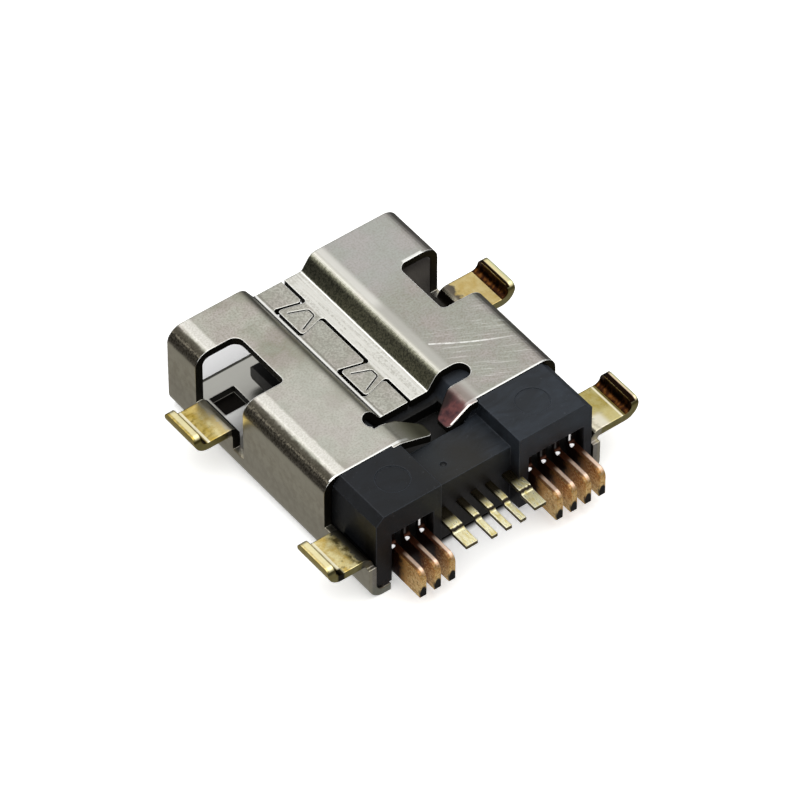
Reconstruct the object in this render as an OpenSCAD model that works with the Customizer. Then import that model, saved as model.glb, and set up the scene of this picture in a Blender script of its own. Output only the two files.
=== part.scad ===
// Board-mounted charging port: a folded steel shell around a moulded housing,
// five data and power contacts and seven side contacts.
// The mouth faces -Y, the tails leave at +Y, and the shell rests on Z = 0.

/* [Shell] */
// Outer width of the shell
shell_w = 8.06; // [7.6:0.02:9]
// Outer height of the shell
shell_h = 3.0; // [2.9:0.02:3.4]
// Length of the upper shell, mouth to rear edge
shell_len = 7.3; // [7.1:0.05:8]
// Thickness of the sheet
sheet_t = 0.25; // [0.2:0.01:0.28]
// Outer radius of the four long bends
bend_r = 0.5; // [0.4:0.02:0.7]
// Length of the bottom plate and the low side walls
floor_len = 9.35; // [9.2:0.05:10]
// Half width of the rear opening in the bottom plate
floor_notch_half = 3.29; // [3:0.01:3.4]
// Depth of the rear opening in the bottom plate
floor_notch_depth = 1.2; // [0.8:0.05:1.8]

/* [Channel] */
// Width of the channel floor
channel_w = 1.67; // [1.5:0.01:1.8]
// Depth of the channel below the top
channel_depth = 0.52; // [0.45:0.01:0.6]
// Sideways run of each channel wall
channel_run = 0.35; // [0.3:0.01:0.4]
// Place of the channel's middle, to the left of the shell's
channel_shift = 0.2; // [0:0.01:0.25]
// Outer radius of the channel's rims
rim_r = 0.36; // [0.3:0.01:0.45]
// Radius at the foot of the channel walls
channel_foot_r = 0.08; // [0.05:0.01:0.12]

/* [Seam] */
// Open width along the seam and the front of each key
seam_gap = 0.1; // [0.06:0.01:0.14]
// Open width behind each key
seam_back_gap = 0.04; // [0.03:0.01:0.06]
// Middle of the first key, from the mouth
key_first = 1.44; // [1.3:0.02:1.6]
// Distance between the keys
key_pitch = 2.94; // [2.7:0.02:3.1]
// Reach of a key across the channel
key_reach = 0.88; // [0.8:0.01:0.9]
// Width of a key at its root
key_root = 0.72; // [0.6:0.01:0.8]
// Width of a key at its head
key_head = 1.2; // [1.1:0.01:1.3]
// Corner radius of the keys
key_r = 0.1; // [0.06:0.01:0.12]
// Width of the stamped line on a key
stamp_w = 0.05; // [0.04:0.01:0.08]
// Depth of the stamped line on a key
stamp_depth = 0.03; // [0.02:0.01:0.05]

/* [Cross slot and locking tabs] */
// Front edge of the cross slot
slot_front = 5.87; // [5.7:0.01:5.95]
// Rear edge of the cross slot
slot_rear = 6.5; // [6.4:0.01:6.6]
// Left end of the cross slot
slot_left = 1.8; // [1.75:0.01:2.0]
// Right end of the cross slot
slot_right = 1.82; // [1.6:0.01:2.0]
// Root of the left tab, from the shell's middle
left_tab_root = 1.71; // [1.65:0.01:1.8]
// Tip of the left tab, from the shell's middle
left_tab_tip = 0.34; // [0.3:0.01:0.45]
// Drop of the left tab at its tip
left_tab_drop = 0.36; // [0.3:0.01:0.42]
// Root of the right tab, from the shell's middle
right_tab_root = 1.22; // [1.15:0.01:1.3]
// Tip of the right tab, from the shell's middle
right_tab_tip = 0.17; // [0.12:0.01:0.25]
// Drop of the right tab at its tip
right_tab_drop = 0.51; // [0.44:0.01:0.54]
// Overhang of the tabs behind the upper shell
tab_overhang = 0.1; // [0.05:0.01:0.15]
// Width of the slope on the front edge of a tab
tab_slope_w = 0.65; // [0.55:0.01:0.7]
// Depth of the slope on the front edge of a tab
tab_slope_depth = 0.4; // [0.3:0.01:0.45]
// Corner radius at the tip of a tab
tab_tip_r = 0.16; // [0.1:0.01:0.18]

/* [Windows] */
// Inner edge of the left window, from the shell's middle
left_window_in = 2.57; // [2.4:0.01:2.8]
// Front edge of the left window
left_window_front = 1.33; // [1.2:0.01:1.5]
// Rear edge of the left window
left_window_rear = 3.55; // [3.4:0.01:3.7]
// Inner edge of the right window, from the shell's middle
right_window_in = 2.6; // [2.4:0.01:2.8]
// Front edge of the right window
right_window_front = 1.9; // [1.7:0.01:2.1]
// Rear edge of the right window
right_window_rear = 4.0; // [3.9:0.01:4.2]
// Corner radius of the windows
window_r = 0.3; // [0.2:0.01:0.4]
// Lower end of the relief slit behind each front leg
relief_z = 0.75; // [0.6:0.01:0.85]
// Width of a latch hole in the bottom plate
latch_w = 0.85; // [0.7:0.01:1]
// Length of a latch hole in the bottom plate
latch_len = 0.78; // [0.6:0.01:0.9]
// Front edge of the latch holes
latch_front = 0.72; // [0.6:0.01:0.8]
// Middle of each latch hole, from the shell's middle
latch_x = 2.72; // [2.6:0.01:2.8]

/* [Legs] */
// Height of the circuit board's face above the shell's underside
board_z = 1.3; // [1.2:0.01:1.35]
// Reach of the left legs, from the shell's side wall
left_leg_reach = 1.3; // [1.2:0.01:1.5]
// Reach of the right legs, from the shell's side wall
right_leg_reach = 1.46; // [1.3:0.01:1.6]
// Width of a leg
leg_w = 1.42; // [1.3:0.01:1.5]
// Height of the turned-up lip above the board
leg_lip = 0.62; // [0.56:0.01:0.7]
// Radius of the bend at a leg's root, at the middle of the sheet
leg_bend_r = 0.22; // [0.2:0.01:0.26]
// Radius of the bend below the lip, at the middle of the sheet
lip_bend_r = 0.35; // [0.28:0.01:0.38]
// Radius at the lip's upper corners
lip_corner_r = 0.2; // [0.06:0.01:0.24]
// Gap between a front leg and the front edge of its window
leg_front_gap = 0.3; // [0.2:0.01:0.4]
// Gap between a rear leg and the rear end of its wall
leg_rear_gap = 0.13; // [0.05:0.01:0.2]

/* [Housing] */
// Clearance between the housing and the shell
fit_gap = 0.03; // [0.02:0.01:0.04]
// Front face of the housing's core
core_front = 5.0; // [4.8:0.01:5.2]
// Front wall of the recess under the tabs
recess_front = 6.15; // [6.1:0.01:6.2]
// Floor of the recess under the tabs
recess_z = 1.85; // [1.7:0.01:1.95]
// Distance from the rear end of the low walls in to the side blocks' rear face
block_setback = 0.05; // [0:0.01:0.15]
// Distance from there in to the rear face of the middle block
middle_setback = 0.4; // [0.35:0.01:0.5]
// Left side of the middle block, from the shell's middle
middle_left = 1.5; // [1.45:0.01:1.6]
// Right side of the middle block, from the shell's middle
middle_right = 1.2; // [1.15:0.01:1.25]
// Step from the side blocks down to the middle block
middle_step = 0.55; // [0.5:0.01:0.6]
// Width of the bevel on the side blocks
block_bevel = 0.26; // [0.2:0.01:0.3]
// Diameter of the ejector marks
ejector_d = 1.0; // [0.8:0.01:1.2]
// Depth of the ejector marks
ejector_depth = 0.04; // [0.02:0.01:0.06]
// Distance of the ejector marks from the middle
ejector_x = 2.43; // [2.3:0.01:2.6]
// Diameter of the dimple on the middle block
dimple_d = 0.2; // [0.1:0.01:0.3]
// Distance of the dimple from the middle
dimple_x = 0.68; // [0.5:0.01:0.9]
// Half width of the tongue
tongue_half = 1.86; // [1.8:0.01:1.9]
// Front end of the tongue
tongue_front = 0.93; // [0.8:0.01:1.1]
// Underside of the tongue
tongue_z = 0.5; // [0.46:0.01:0.54]
// Thickness of the tongue
tongue_t = 0.5; // [0.45:0.01:0.55]
// Front end of the side shelves
shelf_front = 3.8; // [3.7:0.01:3.9]
// Thickness of the side shelves
shelf_t = 0.7; // [0.65:0.01:0.75]
// Bevel at the front end of the tongue and the shelves
nose_bevel = 0.08; // [0.04:0.01:0.09]

/* [Data and power contacts] */
// Thickness of the strip
strip_t = 0.12; // [0.1:0.01:0.14]
// Distance between the contacts on the tongue
contact_pitch = 0.65; // [0.6:0.01:0.68]
// Width of a contact on the tongue
contact_w = 0.25; // [0.2:0.01:0.3]
// Height of a contact above the tongue
contact_proud = 0.03; // [0.01:0.01:0.05]
// Front end of the contacts
contact_front = 1.25; // [1.15:0.01:1.5]
// Distance between the narrow tails
tail_pitch = 0.5; // [0.45:0.01:0.55]
// Width of a narrow tail
tail_w = 0.2; // [0.18:0.01:0.24]
// Distance of a wide tail from the middle
wide_tail_x = 1.19; // [1.15:0.01:1.2]
// Width of a wide tail
wide_tail_w = 0.4; // [0.36:0.01:0.42]
// Place of the row of tails, to the left of the shell's middle
tail_shift = 0.08; // [0:0.01:0.1]
// Reach of the narrow tails behind the side blocks
tail_reach = 1.2; // [1:0.01:1.3]
// Distance from their ends in to the ends of the wide tails
wide_tail_setback = 0.12; // [0:0.01:0.2]
// Height of the step in the tails
tail_step = 0.1; // [0.06:0.01:0.12]
// Distance of the step in the tails behind the side blocks
tail_step_reach = 0.42; // [0.3:0.01:0.5]

/* [Side contacts] */
// Distance between the side contacts
side_pitch = 0.5; // [0.46:0.01:0.52]
// Thickness of a side contact
blade_t = 0.2; // [0.16:0.01:0.22]
// Innermost contact on the left, from the middle
left_first = 2.0; // [1.98:0.01:2.05]
// Innermost contact on the right, from the middle
right_first = 1.75; // [1.72:0.01:1.8]
// Margin of the pocket around each row of contacts
pocket_margin = 0.12; // [0.1:0.01:0.15]
// Depth of the pockets that take the contacts
pocket_depth = 0.35; // [0.3:0.01:0.4]
// Depth of a stem, of which the rear part stands clear in its pocket
stem_t = 0.2; // [0.15:0.01:0.24]
// Part of the stem that stands clear
stem_proud = 0.06; // [0.03:0.01:0.1]
// Top of a blade's stem
stem_top = 2.1; // [2.05:0.01:2.2]
// Height of the beam under the shelf
beam_t = 0.18; // [0.14:0.01:0.2]
// Top of a blade's tail
blade_top = 1.42; // [1.35:0.01:1.5]
// Underside of a blade's tail
blade_bottom = 0.45; // [0.4:0.01:0.55]
// Reach of the blades behind the side blocks
blade_reach = 1.15; // [1:0.01:1.3]
// Rounding at the rear of a blade
blade_nose_r = 0.25; // [0.2:0.01:0.3]
// Rounding between a blade and its stem
blade_fillet_r = 0.12; // [0.08:0.01:0.15]

/* [Hidden] */

$fn = 48;
arc_steps = 8;
// Cuts run this far past an open face
beyond = 1;
// Cuts through a single sheet run this far past its faces
sheet_beyond = 0.25;
half_w = shell_w / 2;
lip_top = board_z + leg_lip;
leg_mid_z = board_z + sheet_t / 2;
// The walls end and the legs begin at this height
leg_root_z = leg_mid_z - leg_bend_r;
left_leg_front = left_window_front + leg_front_gap;
right_leg_front = right_window_front + leg_front_gap;
rear_leg_front = floor_len - leg_rear_gap - leg_w;
tab_rear = shell_len + tab_overhang;
// The recess under the tabs ends this far inside their roots
recess_inset = 0.45;
slot_end_r = (slot_rear - slot_front) * 0.49;
channel_z = shell_h - channel_depth;
seam_z = channel_z - sheet_t;
inner_t = sheet_t + fit_gap;
block_half = half_w - inner_t;
block_rear = floor_len - block_setback;
middle_rear = block_rear - middle_setback;
tail_rear = block_rear + tail_reach;
tail_step_y = block_rear + tail_step_reach;
blade_rear = block_rear + blade_reach;
middle_z = shell_h - middle_step;
// Inside the core the contacts step sideways, then climb, each after one such length
core_cover = 0.3;
jog_y = core_front + core_cover;
climb_y = jog_y + core_cover;
block_middle = (shell_len + block_rear) / 2;
shelf_top = shell_h - inner_t;
tongue_top = tongue_z + tongue_t;
strip_z = tongue_top + contact_proud - strip_t / 2;
// Places of the data and power contacts, counted from the middle one
strip_places = [-2, -1, 0, 1, 2];
pad_z = board_z + strip_t / 2;
exit_z = pad_z + tail_step;
pocket_y = block_rear - pocket_depth;
stem_rear = pocket_y + stem_proud;
stem_front = stem_rear - stem_t;
beam_z = stem_top - beam_t;
beam_setback = 0.1;
beam_front = shelf_front + beam_setback;
blade_half = blade_t / 2;
left_blades = [for (i = [2:-1:0]) left_first + i * side_pitch];
right_blades = [for (i = [0:3]) -(right_first + i * side_pitch)];
blades = concat(left_blades, right_blades);

// Outline of the shell seen from the mouth: X, Z and corner radius
shell_path = [
    [-half_w, 0, bend_r],
    [half_w, 0, bend_r],
    [half_w, shell_h, bend_r],
    [channel_shift + channel_w / 2 + channel_run, shell_h, rim_r],
    [channel_shift + channel_w / 2, channel_z, channel_foot_r],
    [channel_shift - channel_w / 2, channel_z, channel_foot_r],
    [channel_shift - channel_w / 2 - channel_run, shell_h, rim_r],
    [-half_w, shell_h, bend_r]
];

// Middle line of a leg, from the top of the wall to the lip
function leg_path(reach) = [
    [half_w - sheet_t / 2, leg_root_z, 0],
    [half_w - sheet_t / 2, leg_mid_z, leg_bend_r],
    [half_w + reach - sheet_t / 2, leg_mid_z, lip_bend_r],
    [half_w + reach - sheet_t / 2, lip_top, 0]
];

// Middle line of a data or power contact, seen from the side
strip_bend_r = strip_t;
function strip_path(rear) = [
    [contact_front, strip_z, 0],
    [climb_y, strip_z, strip_bend_r],
    [climb_y + exit_z - strip_z, exit_z, strip_bend_r],
    [tail_step_y - tail_step / 2, exit_z, strip_bend_r],
    [tail_step_y + tail_step / 2, pad_z, strip_bend_r],
    [rear, pad_z, 0]
];

// Stamped line on a key: X in parts of the key's reach, Y in parts of its root width, and radius
stamp_path = [[0.75, -0.47, 0], [0.12, -0.14, key_r], [0.12, 0.24, key_r], [0.78, 0.6, 0]];

// Outline of a side contact, seen from the side
blade_corner_r = 0.06;
blade_path = [
    [beam_front, beam_z, blade_corner_r],
    [stem_front, beam_z, 0],
    [stem_front, blade_bottom, blade_corner_r],
    [blade_rear, blade_bottom, blade_corner_r],
    [blade_rear, blade_top, blade_nose_r],
    [stem_rear, blade_top, blade_fillet_r],
    [stem_rear, stem_top, blade_corner_r],
    [beam_front, stem_top, 0]
];

function unit(v) = v / norm(v);
function flat(p) = [p.x, p.y];
function reversed(v) = [for (i = [len(v) - 1:-1:0]) v[i]];

// Arc points at a corner p between a and b
function corner(a, p, b, r) =
    let (
        u = unit(a - p),
        v = unit(b - p),
        half = acos(u * v) / 2,
        c = p + unit(u + v) * r / sin(half),
        s = p + u * r / tan(half) - c,
        e = p + v * r / tan(half) - c,
        a0 = atan2(s.y, s.x),
        sweep = (atan2(e.y, e.x) - a0 + 540) % 360 - 180
    )
    [for (i = [0:arc_steps]) c + r * [cos(a0 + sweep * i / arc_steps), sin(a0 + sweep * i / arc_steps)]];

// Path with its corner radii worked out as points
function rounded(path) =
    let (n = len(path))
    [for (i = [0:n - 1])
        each path[i][2] > 0
            ? corner(flat(path[(i + n - 1) % n]), flat(path[i]), flat(path[(i + 1) % n]), path[i][2])
            : [flat(path[i])]];

// Path moved sideways by s, to the left of its direction
function moved(path, s, closed = true) =
    let (n = len(path))
    [for (i = [0:n - 1])
        let (
            p = flat(path[i]),
            has_in = closed || i > 0,
            has_out = closed || i < n - 1,
            out_dir = has_out ? unit(flat(path[(i + 1) % n]) - p) : unit(p - flat(path[i - 1])),
            in_dir = has_in ? unit(p - flat(path[(i + n - 1) % n])) : out_dir,
            n0 = [-in_dir.y, in_dir.x],
            n1 = [-out_dir.y, out_dir.x],
            turn = sign(cross(in_dir, out_dir)),
            q = p + (n0 + n1) * s / (1 + n0 * n1)
        )
        [q.x, q.y, path[i][2] > 0 ? max(path[i][2] - turn * s, 0) : 0]];

// Outline of a sheet of thickness t along an open middle line
function sheet(path, t) =
    rounded(concat(moved(path, -t / 2, false), reversed(moved(path, t / 2, false))));

// Upright outline in X and Z, swept from y0 to y1
module along_y(y0, y1) {
    translate([0, y1, 0]) rotate([90, 0, 0]) linear_extrude(y1 - y0) children();
}

// Outline in Y and Z, swept from x0 to x1
module along_x(x0, x1) {
    translate([x0, 0, 0]) rotate([90, 0, 90]) linear_extrude(x1 - x0) children();
}

// Outline in X and Y, swept from z0 to z1
module along_z(z0, z1) {
    translate([0, 0, z0]) linear_extrude(z1 - z0) children();
}

module box(x0, x1, y0, y1, z0, z1) {
    translate([x0, y0, z0]) cube([x1 - x0, y1 - y0, z1 - z0]);
}

// One leg, bent out from the wall; side is 1 on the left and -1 on the right
module leg(side, front) {
    reach = side > 0 ? left_leg_reach : right_leg_reach;
    far = half_w + reach + beyond;
    intersection() {
        along_y(front, front + leg_w)
            polygon([for (p = sheet(leg_path(reach), sheet_t)) [p.x * side, p.y]]);
        along_x(-far, far)
            polygon(rounded([
                [front, 0, 0],
                [front + leg_w, 0, 0],
                [front + leg_w, lip_top, lip_corner_r],
                [front, lip_top, lip_corner_r]
            ]));
    }
}

// Window across the upper bend, open down to the leg's root
module window(side, inner, front, rear) {
    outer = half_w + beyond;
    along_z(leg_root_z, shell_h + beyond)
        polygon([for (p = rounded([
            [inner, front, window_r],
            [outer, front, 0],
            [outer, rear, 0],
            [inner, rear, window_r / 2]
        ])) [p.x * side, p.y]]);
    leg_end = front + leg_front_gap + leg_w;
    wall = half_w - sheet_t - sheet_beyond;
    box(min(side * wall, side * outer), max(side * wall, side * outer),
        leg_end, rear, relief_z, leg_root_z + sheet_t);
}

// Line of the seam: the gap between the two edges of the sheet, with its keys
module seam() {
    mid = seam_gap / 2;
    mids = [for (i = [0:1]) key_first + i * key_pitch];
    half_root = key_root / 2;
    half_head = key_head / 2;
    reach = key_reach - mid;
    key_edge = [for (y = mids) each [
        [-mid, y - half_root, key_r],
        [reach, y - half_head, key_r],
        [reach, y + half_head, key_r],
        [-mid, y + half_root, key_r]
    ]];
    pocket_edge = [for (y = mids) each [
        [mid, y - half_root - seam_gap, key_r],
        [reach + seam_gap, y - half_head - seam_gap, key_r],
        [reach + seam_gap, y + half_head + seam_back_gap, key_r],
        [mid, y + half_root + seam_back_gap, key_r]
    ]];
    rear = slot_front + sheet_beyond;
    along_z(seam_z - sheet_beyond, channel_z + sheet_beyond)
        polygon(rounded(concat(
            [[-mid, -beyond, 0]], key_edge, [[-mid, rear, 0], [mid, rear, 0]],
            reversed(pocket_edge), [[mid, -beyond, 0]]
        )));
}

// Stamped line that spreads each key into its pocket
module stamps() {
    for (i = [0:1]) {
        y = key_first + i * key_pitch;
        along_z(channel_z - stamp_depth, channel_z + stamp_depth)
            polygon(sheet([for (p = stamp_path) [key_reach * p.x, y + key_root * p.y, p.z]], stamp_w));
    }
}

// Tab behind the cross slot, pressed down towards the housing
module tab(side, root, tip, drop) {
    mid_z = shell_h - sheet_t / 2;
    intersection() {
        along_y(slot_rear - beyond, tab_rear + beyond)
            polygon([for (p = sheet([
                [root, mid_z, 0],
                [root - sheet_t, mid_z, sheet_t],
                [tip, shell_h - drop - sheet_t / 2, 0]
            ], sheet_t)) [p.x * side, p.y]]);
        along_z(0, shell_h + beyond)
            polygon([for (p = rounded([
                [root + beyond, slot_rear, 0],
                [root + beyond, tab_rear, 0],
                [tip, tab_rear, tab_tip_r],
                [tip, slot_rear + tab_slope_depth, tab_tip_r],
                [tip + tab_slope_w, slot_rear, 2 * tab_tip_r]
            ])) [p.x * side, p.y]]);
    }
}

// Room that the housing leaves around a tab
module tab_seat(side, root, tip, drop) {
    low = shell_h - inner_t;
    along_y(slot_rear - fit_gap, tab_rear + fit_gap)
        polygon([
            [side * (root + fit_gap), shell_h + beyond],
            [side * (root + fit_gap), low],
            [side * root, low],
            [side * (tip - fit_gap), low - drop - fit_gap],
            [0, low - drop - fit_gap],
            [0, shell_h + beyond]
        ]);
}

// Folded, keyed and windowed sheet around the port, with its four legs
module shell() {
    color("#8f8b80") {
        difference() {
            along_y(0, floor_len)
                difference() {
                    polygon(rounded(shell_path));
                    polygon(rounded(moved(shell_path, sheet_t)));
                }
            // the upper shell ends before the low walls
            box(-half_w - beyond, half_w + beyond, shell_len, floor_len + beyond,
                leg_root_z, shell_h + beyond);
            // rear opening of the bottom plate
            box(-floor_notch_half, floor_notch_half, floor_len - floor_notch_depth, floor_len + beyond,
                -beyond, sheet_t + sheet_beyond);
            window(1, left_window_in, left_window_front, left_window_rear);
            window(-1, right_window_in, right_window_front, right_window_rear);
            for (side = [-1, 1]) {
                box(side * latch_x - latch_w / 2, side * latch_x + latch_w / 2,
                    latch_front, latch_front + latch_len, -beyond, sheet_t + sheet_beyond);
            }
            seam();
            stamps();
            // cross slot and the room for the tabs
            along_z(channel_z - beyond, shell_h + beyond)
                polygon(rounded([
                    [-slot_right, slot_front, slot_end_r],
                    [slot_left, slot_front, slot_end_r],
                    [slot_left, slot_rear, slot_end_r],
                    [-slot_right, slot_rear, slot_end_r]
                ]));
            box(-right_tab_root, left_tab_root, slot_rear - sheet_t, shell_len + beyond,
                channel_z - beyond, shell_h + beyond);
        }
        tab(1, left_tab_root, left_tab_tip, left_tab_drop);
        tab(-1, right_tab_root, right_tab_tip, right_tab_drop);
        leg(1, left_leg_front);
        leg(-1, right_leg_front);
        leg(1, rear_leg_front);
        leg(-1, rear_leg_front);
    }
}

// Data or power contact; its beam lies on the tongue and its tail on the board
module usb_contact(place) {
    side = sign(place);
    wide = abs(place) == max(strip_places);
    tail_x = tail_shift + (wide ? side * wide_tail_x : place * tail_pitch);
    width = wide ? wide_tail_w : tail_w;
    rear = tail_rear - (wide ? wide_tail_setback : 0);
    beam_x = place * contact_pitch;
    straight_y = jog_y + 2 * contact_w;
    color("#d9c77e")
        intersection() {
            along_x(-tongue_half, tongue_half) polygon(sheet(strip_path(rear), strip_t));
            along_z(0, shell_h)
                union() {
                    polygon(sheet([
                        [beam_x, contact_front, 0],
                        [beam_x, jog_y, 0],
                        [tail_x, straight_y, 0],
                        [tail_x, middle_rear - contact_w, 0]
                    ], min(contact_w, width)));
                    translate([tail_x - width / 2, straight_y]) square([width, rear - straight_y]);
                    translate([beam_x - contact_w / 2, contact_front])
                        square([contact_w, jog_y - contact_front]);
                }
        }
}

// Side contact: a beam under the shelf, a stem in its pocket and a blade-shaped tail
module side_contact(x) {
    color("#a8703c")
        along_x(x - blade_half, x + blade_half) polygon(rounded(blade_path));
}

// Bar with a bevelled front end
module nosed_bar(x0, x1, front, rear, z0, z1) {
    along_x(x0, x1)
        polygon([
            [rear, z0],
            [front + nose_bevel, z0],
            [front, z0 + nose_bevel],
            [front, z1 - nose_bevel],
            [front + nose_bevel, z1],
            [rear, z1]
        ]);
}

// Moulded housing: core, side blocks, shelves and tongue
module housing() {
    color("#26282b")
        difference() {
            union() {
                along_y(core_front, shell_len + fit_gap)
                    polygon(rounded(moved(shell_path, inner_t)));
                difference() {
                    along_y(shell_len + fit_gap, block_rear)
                        polygon(rounded([
                            [-block_half, inner_t, bend_r - inner_t],
                            [block_half, inner_t, bend_r - inner_t],
                            [block_half, shell_h - block_bevel, 0],
                            [block_half - block_bevel, shell_h, 0],
                            [middle_left, shell_h, 0],
                            [middle_left, middle_z, 0],
                            [-middle_right, middle_z, 0],
                            [-middle_right, shell_h, 0],
                            [-block_half + block_bevel, shell_h, 0],
                            [-block_half, shell_h - block_bevel, 0]
                        ]));
                    box(-middle_right, middle_left, middle_rear, block_rear + beyond,
                        -beyond, shell_h + beyond);
                }
                // tongue
                nosed_bar(-tongue_half, tongue_half, tongue_front, core_front, tongue_z, tongue_top);
                // side shelves, under the lobes of the shell
                for (side = [-1, 1]) {
                    shelf_in = side > 0 ? left_first : right_first;
                    x0 = side * (shelf_in - blade_t - pocket_margin);
                    x1 = side * (block_half - bend_r);
                    nosed_bar(min(x0, x1), max(x0, x1), shelf_front, core_front,
                        shelf_top - shelf_t, shelf_top);
                }
            }
            tab_seat(1, left_tab_root, left_tab_tip, left_tab_drop);
            tab_seat(-1, right_tab_root, right_tab_tip, right_tab_drop);
            // recess under the tabs
            box(recess_inset - right_tab_root, left_tab_root - recess_inset,
                recess_front, tab_rear + fit_gap, recess_z, shell_h + beyond);
            for (x = blades) side_contact(x);
            for (row = [left_blades, right_blades]) {
                box(min(row) - blade_half - pocket_margin, max(row) + blade_half + pocket_margin,
                    pocket_y, block_rear + beyond, -beyond, stem_top + fit_gap);
            }
            for (place = strip_places) usb_contact(place);
            for (side = [-1, 1]) {
                translate([side * ejector_x, block_middle, shell_h - ejector_depth])
                    cylinder(d = ejector_d, h = beyond);
            }
            translate([dimple_x, block_middle, middle_z]) sphere(d = dimple_d);
        }
}

shell();
housing();
usb_contact(strip_places[0]);  // usb_contact_1
usb_contact(strip_places[1]);  // usb_contact_2
usb_contact(strip_places[2]);  // usb_contact_3
usb_contact(strip_places[3]);  // usb_contact_4
usb_contact(strip_places[4]);  // usb_contact_5
side_contact(blades[0]);  // side_contact_1
side_contact(blades[1]);  // side_contact_2
side_contact(blades[2]);  // side_contact_3
side_contact(blades[3]);  // side_contact_4
side_contact(blades[4]);  // side_contact_5
side_contact(blades[5]);  // side_contact_6
side_contact(blades[6]);  // side_contact_7
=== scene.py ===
"""Looks of a board-mounted charging port: its finishes, its light, its floor and the camera.

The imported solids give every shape. This file dresses them. All patterns are laid out in
millimetres of the solids' own frame: the mouth faces -Y, the tails leave at +Y, and the shell
rests on Z = 0.
"""

import logging
import math
from abc import ABC, abstractmethod
from collections.abc import Iterator, Mapping, Sequence
from dataclasses import dataclass, field, replace
from enum import Enum
from typing import Any

import bpy
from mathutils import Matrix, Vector


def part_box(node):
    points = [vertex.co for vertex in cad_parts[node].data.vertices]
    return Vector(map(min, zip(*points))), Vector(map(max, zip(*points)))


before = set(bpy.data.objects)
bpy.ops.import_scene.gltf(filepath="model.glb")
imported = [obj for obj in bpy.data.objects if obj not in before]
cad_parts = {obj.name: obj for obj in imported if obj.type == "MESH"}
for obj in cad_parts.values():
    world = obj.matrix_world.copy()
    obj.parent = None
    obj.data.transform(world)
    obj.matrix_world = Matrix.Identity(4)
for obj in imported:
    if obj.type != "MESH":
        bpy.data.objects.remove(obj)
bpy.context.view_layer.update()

LOG = logging.getLogger("charging_port")
MM = 0.001

Colour = tuple[float, float, float, float]
Socket = bpy.types.NodeSocket
Span = tuple[float, float]
Point = tuple[float, float, float]

# spans on the shell, in millimetres, and the facing of a face that looks up
TOP: Span = (2.9, 3.1)
PLATE: Span = (0.1, 0.32)
FRONT_LEGS: Span = (1.0, 4.5)
REAR_LEGS: Span = (6.0, 9.5)
TABS: Span = (6.48, 7.5)
UP: Span = (0.5, 1.5)

# a ramp that eases in and out
SMOOTH = {"interpolation_type": "SMOOTHSTEP"}


# Shared tools


def linear(hex_colour: str) -> Colour:
    """Turns an sRGB hex colour into the linear colour that a shader works with.

    Args:
        hex_colour: A colour such as "#8F8B80".

    Returns:
        Red, green and blue as linear light, and an alpha of 1.
    """
    parts = [int(hex_colour[i : i + 2], 16) / 255 for i in (1, 3, 5)]
    red, green, blue = (p / 12.92 if p <= 0.04045 else ((p + 0.055) / 1.055) ** 2.4 for p in parts)
    return red, green, blue, 1.0


@dataclass(frozen=True)
class Graph:
    """A node tree and the one way in which nodes are added to it."""

    tree: bpy.types.NodeTree

    def add(
        self,
        kind: str,
        inputs: Mapping[int | str, Any] | None = None,
        out: int | str = 0,
        **settings: Any,
    ) -> Socket:
        """Adds a node, sets it up and links it.

        Args:
            kind: The node's type in Blender, without its common beginning.
            inputs: For each input, by name or number, a socket to link or a value to set.
            out: Name or number of the output that is wanted.
            **settings: Attributes of the node itself.

        Returns:
            The wanted output.
        """
        node = self.tree.nodes.new("ShaderNode" + kind)
        for name, value in settings.items():
            setattr(node, name, value)
        for key, value in (inputs or {}).items():
            if isinstance(value, Socket):
                self.tree.links.new(value, node.inputs[key])
            else:
                node.inputs[key].default_value = value
        return node.outputs[out] if node.outputs else None

    def layered(self, base: Socket | str, layers: Sequence[tuple[Socket, str]]) -> Socket:
        """Lays colours over a colour, one after the other.

        Args:
            base: The lowest colour, as a socket or in hex.
            layers: For each layer, the share that it covers and its colour in hex.

        Returns:
            The colour that is seen.
        """
        seen = linear(base) if isinstance(base, str) else base
        for share, tone in layers:
            seen = self.add("Mix", {0: share, 6: seen, 7: linear(tone)}, out=2, data_type="RGBA")
        return seen


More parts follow.
